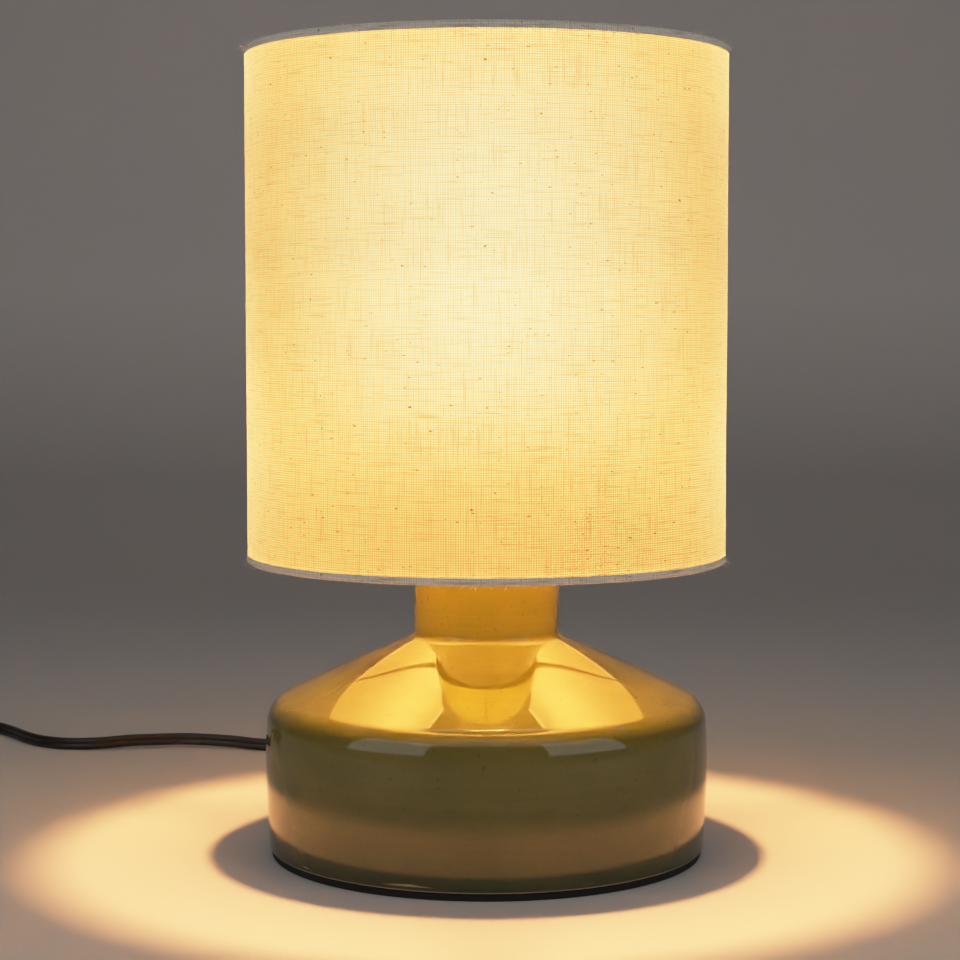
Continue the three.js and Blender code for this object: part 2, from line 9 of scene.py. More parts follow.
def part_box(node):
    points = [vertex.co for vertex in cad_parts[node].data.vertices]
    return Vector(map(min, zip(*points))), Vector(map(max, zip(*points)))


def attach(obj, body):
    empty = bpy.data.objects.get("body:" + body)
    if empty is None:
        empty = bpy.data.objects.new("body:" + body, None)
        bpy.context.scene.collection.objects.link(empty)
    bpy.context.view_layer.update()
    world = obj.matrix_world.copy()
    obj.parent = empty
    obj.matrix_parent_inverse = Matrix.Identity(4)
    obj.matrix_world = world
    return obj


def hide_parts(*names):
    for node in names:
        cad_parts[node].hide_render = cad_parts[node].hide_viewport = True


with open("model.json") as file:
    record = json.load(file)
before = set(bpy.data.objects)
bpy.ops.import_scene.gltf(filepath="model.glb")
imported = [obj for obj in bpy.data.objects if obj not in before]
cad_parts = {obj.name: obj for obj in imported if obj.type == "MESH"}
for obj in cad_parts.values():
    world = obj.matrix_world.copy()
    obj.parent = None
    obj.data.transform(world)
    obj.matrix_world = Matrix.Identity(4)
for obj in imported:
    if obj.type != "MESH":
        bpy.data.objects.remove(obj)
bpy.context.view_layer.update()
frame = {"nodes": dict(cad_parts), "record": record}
mm = 0.001
print("frame loaded")

# camera
cameraSetup = {"lens": 86.56, "place": (-2.45, -869.3, 202.4), "tilt": 85.954}


def makeCamera(setup):
    data = bpy.data.cameras.new("camera")
    data.lens = setup["lens"]
    data.sensor_width = 36
    data.clip_start = 0.02
    camera = bpy.data.objects.new("camera", data)
    camera.location = Vector(setup["place"]) * mm
    camera.rotation_euler = (math.radians(setup["tilt"]), 0, 0)
    bpy.context.collection.objects.link(camera)
    bpy.context.scene.camera = camera


makeCamera(cameraSetup)


# film response: straight in the shadows, with a soft shoulder in the highlights
filmLook = {
    "white": 4.0,  # the brightest value that the curve covers
    "knee": 0.42, "top": 1.0,  # where the shoulder starts, and what it rises towards
    "stops": (0.2, 0.42, 0.55, 0.7, 0.9, 1.2, 1.6, 2.2, 3.0),
}


def setFilm(look):
    view = bpy.context.scene.view_settings
    view.view_transform = "Standard"
    view.use_curve_mapping = True
    curves = view.curve_mapping
    curves.white_level = (look["white"],) * 3
    tone = curves.curves[3]  # the curve that red, green and blue share
    room = look["top"] - look["knee"]

    def shoulder(x):
        if x < look["knee"]:
            return x
        return look["knee"] + room * (1 - math.exp((look["knee"] - x) / room))

    for x in look["stops"]:
        tone.points.new(x / look["white"], shoulder(x))
    tone.points[-1].location = (1, shoulder(look["white"]))
    for point in tone.points:
        point.handle_type = "VECTOR" if point.location[0] * look["white"] < look["knee"] else "AUTO"
    curves.update()


setFilm(filmLook)


# shader building blocks
def newMaterial(name):
    material = bpy.data.materials.new(name)
    material.use_nodes = True
    material.node_tree.nodes.clear()
    return material, material.node_tree


def put(tree, kind, **settings):
    node = tree.nodes.new("ShaderNode" + kind)
    for key, value in settings.items():
        if hasattr(node, key):
            setattr(node, key, value)
        else:
            node.inputs[key.replace("_", " ")].default_value = value
    return node


def wire(tree, source, target, socket):
    output = source if isinstance(source, bpy.types.NodeSocket) else source.outputs[0]
    tree.links.new(output, target.inputs[socket])
    return target


def ramp(tree, source, stops):
    node = put(tree, "ValToRGB")
    wire(tree, source, node, 0)
    points = node.color_ramp.elements
    while len(points) < len(stops):
        points.new(0.5)
    for point, (place, color) in zip(points, stops):
        point.position = place
        point.color = (*color, 1)
    return node


def ranged(tree, source, low, high, fromLow=0.0, fromHigh=1.0):
    node = put(tree, "MapRange", From_Min=fromLow, From_Max=fromHigh, To_Min=low, To_Max=high)
    return wire(tree, source, node, 0)


def math2(tree, operation, first, second):
    node = put(tree, "Math", operation=operation)
    for i, value in enumerate((first, second)):
        if isinstance(value, (int, float)):
            node.inputs[i].default_value = value
        else:
            wire(tree, value, node, i)
    return node


def blended(tree, how, amount, first, second):
    node = put(tree, "MixRGB", blend_type=how)
    for i, value in enumerate((amount, first, second)):
        if isinstance(value, (int, float)):
            node.inputs[i].default_value = value
        elif isinstance(value, tuple):
            node.inputs[i].default_value = (*value, 1)
        else:
            wire(tree, value, node, i)
    return node


def toned(tree, base, amount, source, stops):
    return blended(tree, "MULTIPLY", amount, base, ramp(tree, source, stops))


def coordinate(tree, where, axis):
    place = put(tree, "TexCoord")
    split = wire(tree, place.outputs[where], put(tree, "SeparateXYZ"), "Vector")
    return split.outputs[axis]


def summed(tree, first, firstShare, second, secondShare):
    first = math2(tree, "MULTIPLY", first, firstShare)
    second = math2(tree, "MULTIPLY", second, secondShare)
    return math2(tree, "ADD", first, second)


def noiseAt(tree, scale, stretch=(1, 1, 1), detail=3.0, where="Object", rough=0.5):
    place = put(tree, "TexCoord")
    mapping = put(tree, "Mapping", Scale=stretch)
    wire(tree, place.outputs[where], mapping, "Vector")
    node = put(tree, "TexNoise", Scale=scale, Detail=detail, Roughness=rough)
    return wire(tree, mapping, node, "Vector")


def bumped(tree, height, strength, depth):
    node = put(tree, "Bump", Strength=strength, Distance=depth * mm)
    return wire(tree, height, node, "Height")


def finished(tree, surface):
    output = put(tree, "OutputMaterial")
    wire(tree, surface, output, "Surface")


# plain moulded, painted and metal finishes: two tints, a grain and a broad mottle
finishes = {
    "blackPlastic": dict(tints=((0.010, 0.009, 0.008), (0.022, 0.020, 0.018)), rough=(0.32, 0.46),
                         grain=2600, bump=0.12),
    "cordSheath": dict(tints=((0.009, 0.008, 0.007), (0.020, 0.017, 0.015)), rough=(0.30, 0.44),
                       grain=1500, bump=0.15),
    "whitePlastic": dict(tints=((0.74, 0.70, 0.62), (0.80, 0.77, 0.70)), rough=(0.28, 0.40),
                         grain=2200, bump=0.08),
    "whitePaint": dict(tints=((0.66, 0.63, 0.56), (0.76, 0.73, 0.66)), rough=(0.30, 0.48),
                       grain=1400, bump=0.14),
    "coreCeramic": dict(tints=((0.72, 0.68, 0.60), (0.82, 0.79, 0.72)), rough=(0.45, 0.62),
                        grain=1800, bump=0.12),
    "zinc": dict(tints=((0.52, 0.53, 0.54), (0.68, 0.69, 0.70)), rough=(0.26, 0.42),
                 grain=1200, bump=0.10, metal=1.0, streak=(1, 1, 9)),
    "brass": dict(tints=((0.80, 0.70, 0.16), (0.92, 0.84, 0.24)), rough=(0.20, 0.34),
                  grain=1300, bump=0.08, metal=1.0, streak=(1, 1, 8)),
    "nickel": dict(tints=((0.62, 0.60, 0.56), (0.76, 0.74, 0.70)), rough=(0.14, 0.24),
                   grain=1500, bump=0.05, metal=1.0, streak=(1, 1, 10)),
    "solder": dict(tints=((0.36, 0.36, 0.36), (0.52, 0.52, 0.51)), rough=(0.34, 0.50),
                   grain=900, bump=0.2, metal=1.0),
    "greyFibre": dict(tints=((0.24, 0.23, 0.21), (0.36, 0.35, 0.33)), rough=(0.80, 0.92),
                      grain=1700, bump=0.4),
    "blackFoam": dict(tints=((0.006, 0.005, 0.004), (0.016, 0.014, 0.012)), rough=(0.85, 0.95),
                      grain=2400, bump=0.6),
}


def plainFinish(name, tints, rough, grain, bump, metal=0.0, streak=(1, 1, 1)):
    material, tree = newMaterial(name)
    fine = noiseAt(tree, grain, streak, detail=4)
    broad = noiseAt(tree, 45, streak, detail=2)
    both = summed(tree, fine, 0.45, broad, 0.55)
    surface = put(tree, "BsdfPrincipled", Metallic=metal)
    wire(tree, ramp(tree, both, [(0.36, tints[0]), (0.64, tints[1])]), surface, "Base Color")
    wire(tree, ranged(tree, broad, rough[0], rough[1], 0.3, 0.7), surface, "Roughness")
    wire(tree, bumped(tree, fine, bump, 0.05), surface, "Normal")
    finished(tree, surface)
    return material


materials = {name: plainFinish(name, **values) for name, values in finishes.items()}


# glaze: an olive gloss over clay that shows brown where it runs thin
glazeLook = {
    "heights": [  # colours up the body, as shares of its height
        (0.000, (0.42, 0.34, 0.23)), (0.028, (0.40, 0.32, 0.21)), (0.031, (0.040, 0.046, 0.014)),
        (0.085, (0.056, 0.064, 0.021)), (0.20, (0.068, 0.076, 0.025)), (0.30, (0.104, 0.110, 0.034)),
        (0.45, (0.140, 0.142, 0.044)), (0.52, (0.130, 0.130, 0.024)), (0.64, (0.120, 0.130, 0.016)),
        (0.78, (0.190, 0.200, 0.030)), (1.00, (0.200, 0.200, 0.034)),
    ],
    "top": 113.0,
    "wander": 2.2, "steadyBelow": 4.5,  # the colour's edges wander, except at the foot
    "clayBelow": 3.4, "clayRough": 0.8,
    "rough": (0.02, 0.05),
    "throwing": [(0.34, (0.80, 0.78, 0.74)), (0.66, (1.12, 1.10, 1.06))],
    "mottle": [(0.30, (0.74, 0.78, 0.72)), (0.70, (1.16, 1.10, 1.02))],
    "flecks": [(0.26, (0.55, 0.50, 0.42)), (0.36, (1, 1, 1))],
    "relief": 0.16, "reliefDepth": 0.20,
}


def makeGlaze(look):
    material, tree = newMaterial("oliveGlaze")
    up = coordinate(tree, "Object", "Z")
    wobble = noiseAt(tree, 22, (1, 1, 2), detail=3)
    wander = look["wander"] * mm
    height = math2(tree, "ADD", up, ranged(tree, wobble, -wander, wander, 0.3, 0.7))
    steady = math2(tree, "LESS_THAN", up, look["steadyBelow"] * mm)
    used = math2(tree, "ADD", math2(tree, "MULTIPLY", steady, up),
                 math2(tree, "MULTIPLY", math2(tree, "SUBTRACT", 1.0, steady), height))
    byHeight = ramp(tree, ranged(tree, used, 0, 1, 0, look["top"] * mm), look["heights"])
    throwing = noiseAt(tree, 60, (0.25, 0.25, 11), detail=5)  # faint rings left by turning
    mottle = noiseAt(tree, 34, (1, 1, 1.6), detail=5, rough=0.6)
    flecks = noiseAt(tree, 520, (1, 1, 1), detail=2)
    tone = toned(tree, byHeight, 0.5, mottle, look["mottle"])
    tone = toned(tree, tone, 0.2, throwing, look["throwing"])
    tone = toned(tree, tone, 0.5, flecks, look["flecks"])
    surface = put(tree, "BsdfPrincipled", IOR=1.52, Coat_Weight=0.15, Coat_Roughness=0.03, Coat_IOR=1.5)
    wire(tree, tone, surface, "Base Color")
    gloss = ranged(tree, mottle, look["rough"][0], look["rough"][1], 0.3, 0.7)
    isClay = math2(tree, "LESS_THAN", up, look["clayBelow"] * mm)
    clayGloss = math2(tree, "MULTIPLY", isClay, look["clayRough"])
    wire(tree, math2(tree, "MAXIMUM", gloss, clayGloss), surface, "Roughness")
    swell = noiseAt(tree, 26, (1, 1, 1.3), detail=1)
    relief = math2(tree, "ADD", math2(tree, "MULTIPLY", throwing, 0.03), swell)
    wire(tree, bumped(tree, relief, look["relief"], look["reliefDepth"]), surface, "Normal")
    finished(tree, surface)
    return material


# linen: plain weave, slubs along both threads and a few dark flecks
linenLook = {
    "pitch": 0.86, "weftPitch": 0.8084,  # thread spacing round the shade and up it
    "thread": (0.70, 0.60, 0.38), "slub": (0.50, 0.38, 0.22), "fleck": (0.26, 0.15, 0.06),
    "slubFrom": 0.50, "slubTo": 0.78, "fleckFrom": 0.715, "fleckTo": 0.75,
    "gapShade": [(0.0, (0.80, 0.78, 0.75)), (0.6, (1.04, 1.04, 1.04))],
    "relief": 0.55, "reliefDepth": 0.10,
}
# lit linen: what shines through the threads, and what slips between them
glowLook = {
    "passes": 0.384,  # share of the light that goes through where the painted light ramp is 1
    # painted light: more light passes near the shade's bottom and top, evening out the bulb's falloff
    "paintedLightByHeight": [(0.0, 1.0), (0.20, 0.76), (0.42, 0.38), (0.62, 0.26), (0.82, 0.32), (1.0, 0.60)],
    "bottom": 112, "top": 300,  # the heights that the painted light ramp runs between
    "glow": (0.82, 0.78, 0.46), "glowSlub": (0.64, 0.50, 0.30), "glowFleck": (0.22, 0.12, 0.04),
    "glowGaps": [(0.0, (0.40, 0.34, 0.26)), (0.65, (1.30, 1.36, 1.50))],
    "cloud": [(0.3, (0.92, 0.91, 0.88)), (0.7, (1.06, 1.06, 1.07))],
    "between": 0.46,  # share of that light which slips between the threads
    "betweenGaps": [(0.0, (0.34, 0.34, 0.34)), (0.65, (1, 1, 1))],
    "betweenTint": (0.16, 0.48, 0.96), "betweenSlub": (0.55, 0.48, 0.40), "betweenFleck": (0.20, 0.16, 0.12),
    "spread": 1.0, "bend": 2.4,
}


def threadBands(tree, direction, pitch, where="UV"):
    place = put(tree, "TexCoord")
    bands = put(tree, "TexWave", wave_type="BANDS", bands_direction=direction,
                Scale=2 * math.pi / (20 * pitch * mm), Distortion=0.6, Detail=2, Detail_Scale=0.35)
    return wire(tree, place.outputs[where], bands, "Vector")


def weave(tree, look):
    warp = threadBands(tree, "X", look["pitch"])
    weft = threadBands(tree, "Y", look["weftPitch"])
    slubAcross = noiseAt(tree, 1.0, (75, 1250, 1), detail=3, where="UV")
    slubUp = noiseAt(tree, 1.0, (1250, 65, 1), detail=3, where="UV")
    gaps = math2(tree, "MULTIPLY", warp, weft)
    slubs = math2(tree, "MAXIMUM", ranged(tree, slubAcross, 0, 1, look["slubFrom"], look["slubTo"]),
                  ranged(tree, slubUp, 0, 0.9, look["slubFrom"], look["slubTo"]))
    fleckPlace = noiseAt(tree, 1.0, (420, 900, 1), detail=1, where="UV")
    flecks = ranged(tree, fleckPlace, 0, 1, look["fleckFrom"], look["fleckTo"])
    relief = math2(tree, "ADD", math2(tree, "ADD", warp, weft), math2(tree, "MULTIPLY", slubs, 1.4))
    return gaps, slubs, flecks, relief


def linenSurface(tree, look, gaps, slubs, flecks, relief):
    base = blended(tree, "MIX", slubs, look["thread"], look["slub"])
    base = toned(tree, base, 1.0, gaps, look["gapShade"])
    base = blended(tree, "MIX", flecks, base, look["fleck"])
    outer = put(tree, "BsdfPrincipled", Roughness=0.92, Sheen_Weight=0.15, Sheen_Roughness=0.5)
    wire(tree, base, outer, "Base Color")
    wire(tree, bumped(tree, relief, look["relief"], look["reliefDepth"]), outer, "Normal")
    return outer


def makeHemLinen(look):
    material, tree = newMaterial("hemLinen")
    finished(tree, linenSurface(tree, look, *weave(tree, look)))
    return material


def makeLitLinen(look, lit):
    material, tree = newMaterial("shadeLinen")
    gaps, slubs, flecks, relief = weave(tree, look)
    outer = linenSurface(tree, look, gaps, slubs, flecks, relief)
    cloud = noiseAt(tree, 1.0, (16, 26, 1), detail=4, where="UV")
    glow = toned(tree, lit["glow"], 1.0, gaps, lit["glowGaps"])
    glow = blended(tree, "MULTIPLY", slubs, glow, lit["glowSlub"])
    glow = blended(tree, "MULTIPLY", flecks, glow, lit["glowFleck"])
    glow = toned(tree, glow, 0.5, cloud, lit["cloud"])
    tone = ramp(tree, gaps, lit["betweenGaps"])
    tone = blended(tree, "MULTIPLY", slubs, tone, lit["betweenSlub"])
    tone = blended(tree, "MULTIPLY", flecks, tone, lit["betweenFleck"])
    through = put(tree, "BsdfTranslucent")
    wire(tree, glow, through, "Color")
    between = put(tree, "BsdfRefraction", IOR=lit["bend"], Roughness=lit["spread"])
    wire(tree, blended(tree, "MULTIPLY", 1.0, tone, lit["betweenTint"]), between, "Color")
    light = put(tree, "MixShader", Fac=lit["between"])
    wire(tree, through, light, 1)
    wire(tree, between, light, 2)
    # painted light: the share that passes follows the height ramp, brighter towards the shade's bottom and
    # top
    height = ranged(tree, coordinate(tree, "UV", "Y"), 0, 1, lit["bottom"] * mm, lit["top"] * mm)
    share = ramp(tree, height, [(z, (v, v, v)) for z, v in lit["paintedLightByHeight"]])
    mixed = put(tree, "MixShader")
    wire(tree, math2(tree, "MULTIPLY", share, lit["passes"]), mixed, 0)
    wire(tree, outer, mixed, 1)
    wire(tree, light, mixed, 2)
    finished(tree, mixed)
    return material


def makeGlass():
    material, tree = newMaterial("bulbGlass")
    clear = put(tree, "BsdfTransparent", Color=(0.98, 0.97, 0.94, 1))
    ripple = noiseAt(tree, 60, detail=2)
    gloss = put(tree, "BsdfGlossy", Roughness=0.03)
    wire(tree, ramp(tree, ripple, [(0.3, (0.88, 0.86, 0.82)), (0.7, (1, 0.98, 0.95))]), gloss, "Color")
    fresnel = put(tree, "Fresnel", IOR=1.45)
    mixed = put(tree, "MixShader")
    wire(tree, fresnel, mixed, 0)
    wire(tree, clear, mixed, 1)
    wire(tree, gloss, mixed, 2)
    finished(tree, mixed)
    return material


filamentLook = {"tints": [(0.2, (0.80, 0.52, 0.10)), (0.8, (0.95, 0.72, 0.22))], "beads": 1.6,
                "light": (1.0, 0.66, 0.28), "strength": 60}


def makeFilament(look):
    material, tree = newMaterial("filament")
    beads = threadBands(tree, "Z", look["beads"], where="Object")
    surface = put(tree, "BsdfPrincipled", Roughness=0.5)
    wire(tree, ramp(tree, beads, look["tints"]), surface, "Base Color")
    surface.inputs["Emission Color"].default_value = (*look["light"], 1)
    surface.inputs["Emission Strength"].default_value = look["strength"]
    finished(tree, surface)
    return material


materials["glaze"] = makeGlaze(glazeLook)
materials["litLinen"] = makeLitLinen(linenLook, glowLook)
materials["hemLinen"] = makeHemLinen({**linenLook, "thread": (0.94, 0.89, 0.79)})
materials["bulbGlass"] = makeGlass()
materials["filament"] = makeFilament(filamentLook)
print("materials made")


# mesh building blocks, in millimetres
def gridFaces(rows, columns, around=False, closed=True):
    # around joins the last row to the first, and closed joins the two ends of each row
    faces = []
    for i in range(rows if around else rows - 1):
        here, there = i * columns, (i + 1) % rows * columns
        for j in range(columns if closed else columns - 1):
            k = (j + 1) % columns
            faces.append((here + j, there + j, there + k, here + k))
    return faces


def endFaces(rows, columns):
    return [tuple(range(columns)), tuple(range((rows - 1) * columns, rows * columns))]


def addMesh(name, verts, faces, material, sharp=38):
    mesh = bpy.data.meshes.new(name)
    mesh.from_pydata([Vector(v) * mm for v in verts], [], faces)
    form = bmesh.new()
    form.from_mesh(mesh)
    bmesh.ops.remove_doubles(form, verts=form.verts, dist=1e-6)
    bmesh.ops.recalc_face_normals(form, faces=form.faces)
    form.to_mesh(mesh)
    form.free()
    mesh.materials.append(materials[material])
    mesh.shade_smooth()
    mesh.set_sharp_from_angle(angle=math.radians(sharp))
    obj = bpy.data.objects.new(name, mesh)
    bpy.context.collection.objects.link(obj)
    return obj


def addCloth(name, verts, flats, rows, columns, material):
    # an open sheet, one face thick, whose UVs are its places on the flat cloth
    mesh = bpy.data.meshes.new(name)
    mesh.from_pydata([Vector(v) * mm for v in verts], [], gridFaces(rows, columns, closed=False))
    layer = mesh.uv_layers.new(name="flat")
    for loop in mesh.loops:
        layer.data[loop.index].uv = flats[loop.vertex_index]
    mesh.materials.append(materials[material])
    mesh.shade_smooth()
    obj = bpy.data.objects.new(name, mesh)
    bpy.context.collection.objects.link(obj)
    return obj


def settle(obj, body, slot, *stands):
    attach(obj, body)
    if stands:
        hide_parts(*stands)
    return obj


def rounded(corners, step=9):
    points = []
    for i, corner in enumerate(corners):
        here = Vector(corner[:2])
        rounding = corner[2] if len(corner) > 2 else 0
        if not rounding:
            points.append(here)
            continue
        before = (Vector(corners[i - 1][:2]) - here).normalized()
        after = (Vector(corners[(i + 1) % len(corners)][:2]) - here).normalized()
        half = before.angle(after) / 2
        centre = here + (before + after).normalized() * rounding / math.sin(half)
        start = here + before * rounding / math.tan(half) - centre
        end = here + after * rounding / math.tan(half) - centre
        turn = start.angle_signed(end)
        count = max(2, math.ceil(abs(math.degrees(turn)) / step))
        for k in range(count + 1):
            angle = -turn * k / count
            c, s = math.cos(angle), math.sin(angle)
            points.append(centre + Vector((start.x * c - start.y * s, start.x * s + start.y * c)))
    return points


def lathe(name, outline, material, sides=160, sharp=38):
    verts = [(r * x, r * y, z) for x, y in circle(1, sides) for r, z in outline]
    return addMesh(name, verts, gridFaces(sides, len(outline), around=True), material, sharp)


def layBack(obj, start, height):
    # swaps an upright lathed piece's height with its depth, so that it points backwards from start
    for v in obj.data.vertices:
        x, y, z = v.co
        v.co = (x, start * mm + z, height * mm + y)


def smoothPath(points, perSpan):
    points = [Vector(p) for p in points]
    line = [points[0] * 2 - points[1], *points, points[-1] * 2 - points[-2]]
    path = []
    for a, b, c, d in zip(line, line[1:], line[2:], line[3:]):
        for k in range(perSpan):
            t = k / perSpan
            curve = (2 * a - 5 * b + 4 * c - d) * t * t + (3 * b - a - 3 * c + d) * t ** 3
            path.append(0.5 * (2 * b + (c - a) * t + curve))
    return [*path, points[-1]]


def circle(radius, sides=14):
    turns = [2 * math.pi * i / sides for i in range(sides)]
    return [(radius * math.cos(turn), radius * math.sin(turn)) for turn in turns]


def sweep(name, path, section, material, sharp=50):
    verts = []
    for i, point in enumerate(path):
        along = (path[min(i + 1, len(path) - 1)] - path[max(i - 1, 0)]).normalized()
        side = along.cross(Vector((0, 0, 1))).normalized()
        rise = side.cross(along)
        verts += [point + side * x + rise * y for x, y in section]
    faces = gridFaces(len(path), len(section)) + endFaces(len(path), len(section))
    return addMesh(name, verts, faces, material, sharp)


def roundedBox(length, width, corner, steps=7):
    points = []
    for quarter, (sx, sy) in enumerate(((1, 1), (-1, 1), (-1, -1), (1, -1))):
        for k in range(steps + 1):
            angle = math.pi / 2 * (quarter + k / steps)
            points.append((sx * (length / 2 - corner) + corner * math.cos(angle),
                           sy * (width / 2 - corner) + corner * math.sin(angle)))
    return points


def inset(points, amount):
    result = []
    for i, (x, y) in enumerate(points):
        (ax, ay), (bx, by) = points[i - 1], points[(i + 1) % len(points)]
        normal = Vector((by - ay, ax - bx)).normalized()
        result.append((x - normal.x * amount, y - normal.y * amount))
    return result


def moulded(name, flat, layers, material, centre=(0, 0, 0), sharp=40):
    # flat is an outline seen from above, and layers are (inset, height) from the bottom to the top
    cx, cy, cz = centre
    verts = [(x + cx, y + cy, z + cz) for amount, z in layers for x, y in inset(flat, amount)]
    faces = gridFaces(len(layers), len(flat)) + endFaces(len(layers), len(flat))
    return addMesh(name, verts, faces, material, sharp)


def carve(obj, tool, sharp=38):
    modifier = obj.modifiers.new("carve", "BOOLEAN")
    modifier.object = tool
    modifier.solver = "EXACT"
    bpy.context.view_layer.update()
    depsgraph = bpy.context.evaluated_depsgraph_get()
    carved = bpy.data.meshes.new_from_object(obj.evaluated_get(depsgraph))
    obj.modifiers.clear()
    obj.data = carved
    bpy.data.objects.remove(tool)
    obj.data.set_sharp_from_angle(angle=math.radians(sharp))


# the flat twin cord: out at the back, through the switch, round behind and into a coil beside the lamp
cordSizes = {"length": 1.8, "width": 5.6, "lobe": 1.6, "lobeSpacing": 2.4, "lobeSteps": 4,
             "exit": (0, 112.8, 10.5)}
coilSizes = {"centre": (-300, 218), "outer": 35.4, "pitch": 3.2, "turns": 2.7, "lower": 4.3, "upper": 10.0,
             "tailHeight": 16.2, "tailRadius": 31.0, "plugHeight": 20.25}
switchSizes = {"centre": (14, 193), "length": 62, "width": 26, "height": 17, "corner": 8,
               "wellLength": 21.6, "wellWidth": 11.9, "wellCorner": 1.6, "tilt": 7, "pivot": 3.4}


def coilPath(sizes, entry):
    cx, cy = sizes["centre"]
    startAngle = math.degrees(math.atan2(entry.y - cy, entry.x - cx))
    startRadius = math.hypot(entry.y - cy, entry.x - cx)
    wound = sizes["turns"] * 360
    inner = sizes["outer"] - sizes["pitch"] * sizes["turns"]
    stations = [  # angle, radius and height where each stretch ends
        (startAngle, startRadius, entry.z), (120, sizes["outer"], sizes["lower"]),
        (120 + wound, inner, sizes["lower"]), (210 + wound, inner, sizes["upper"]),
        (210 + 2 * wound, sizes["outer"], sizes["upper"]),
        (320 + 2 * wound, sizes["outer"], sizes["tailHeight"] - 0.6),
        (396 + 2 * wound, sizes["tailRadius"], sizes["tailHeight"]),
        (477 + 2 * wound, sizes["tailRadius"], sizes["plugHeight"]),
    ]
    path = []
    for (a0, r0, z0), (a1, r1, z1) in zip(stations, stations[1:]):
        count = max(4, round((a1 - a0) / 7.5))
        spiral = a1 - a0 > 400
        for k in range(1, count + 1):
            t = k / count
            eased = t * t * (3 - 2 * t)
            angle = math.radians(a0 + (a1 - a0) * t)
            radius = r0 + (r1 - r0) * (t if spiral else eased)
            out = Vector((math.cos(angle), math.sin(angle), 0))
            path.append(Vector((cx, cy, z0 + (z1 - z0) * eased)) + out * radius)
    return path


def makeCord(sizes, coil, switch):
    switchX, switchY = switch["centre"]
    middle = switch["height"] / 2
    halfSwitch = switch["length"] / 2
    toSwitch = [sizes["exit"], (0, 119, 10), (2, 128.9, 7.9), (7.6, 137.4, 5.3), (16, 143, 3.4),
                (26, 145, 2.8), (38, 145.4, 2.8), (52, 145.4, 2.8), (65.5, 145.4, 2.8), (77.5, 148.6, 2.8),
                (86.3, 157.4, 2.8), (89.5, 169.4, 2.8), (86.3, 181.4, 2.8), (77.5, 190.2, 3),
                (65.5, 193.4, 4.6), (55.5, 193.5, 7.3), (switchX + halfSwitch, switchY, middle)]
    toCoil = [(switchX, switchY, middle), (switchX - halfSwitch, switchY, middle), (-27, 193, 7.6),
              (-40, 193.2, 4.4), (-54, 193.6, 3), (-70, 194.6, 2.8), (-87, 196.4, 2.8), (-104, 199, 2.8),
              (-120, 204.6, 3.4), (-139, 207, 4), (-153, 206, 4), (-167, 204, 3.8), (-181, 200.6, 3.2),
              (-195, 201.4, 2.8), (-207.6, 207, 2.8), (-218, 218, 2.8), (-227.4, 232, 2.8),
              (-237.6, 244.4, 2.8), (-250, 252.4, 2.8), (-263, 255.4, 2.8), (-277, 254.6, 3.2)]
    path = smoothPath(toSwitch + toCoil, 6)
    path += coilPath(coil, path[-1])
    lobe, reach, steps = sizes["lobe"], sizes["lobeSpacing"] / 2, sizes["lobeSteps"]
    meet = math.acos(-reach / lobe) * 0.96  # just short of the crease between the two lobes
    section = []
    for sign in (1, -1):
        for k in range(2 * steps + 1):
            angle = meet * (k / steps - 1)
            section.append((sign * lobe * math.sin(angle), sign * (reach + lobe * math.cos(angle))))
    cord = sweep("mainsCord", path, section, "cordSheath", sharp=70)
    settle(cord, "base", "cord_sheath", "cord_lead", "cord_run", "cord_coil", "cord_tail")
    return cord, [p * mm for p in path]


cord, cordPath = makeCord(cordSizes, coilSizes, switchSizes)
cordRun = sum((b - a).length for a, b in zip(cordPath, cordPath[1:]))
print("cord length", round(cordRun, 3))


# strain relief: a tapered boot with slots between its ribs
reliefSizes = {"wall": 84.5, "length": 27.7, "bore": 3.1, "flange": 6.5, "flangeLength": 2.0, "root": 5.0,
               "tip": 4.0, "ribs": 7, "slot": 0.7}


def makeRelief(sizes):
    first, steps = sizes["flangeLength"], 2 * sizes["ribs"]
    step = (sizes["length"] - first) / steps
    corners = [(sizes["bore"], 0), (sizes["flange"], 0, 0.4), (sizes["flange"], first, 0.7)]
    for i in range(steps):
        radius = sizes["root"] + (sizes["tip"] - sizes["root"]) * (i + 0.5) / steps
        if i % 2 == 0:
            radius -= sizes["slot"]
        corners += [(radius, first + i * step, 0.2), (radius, first + (i + 1) * step, 0.2)]
    corners.append((sizes["bore"], sizes["length"]))
    boot = lathe("strainRelief", rounded(corners, 30), "blackPlastic", 48)
    layBack(boot, sizes["wall"], cordSizes["exit"][2])
    return settle(boot, "base", "black_plastic", "cord_gland")


relief = makeRelief(reliefSizes)


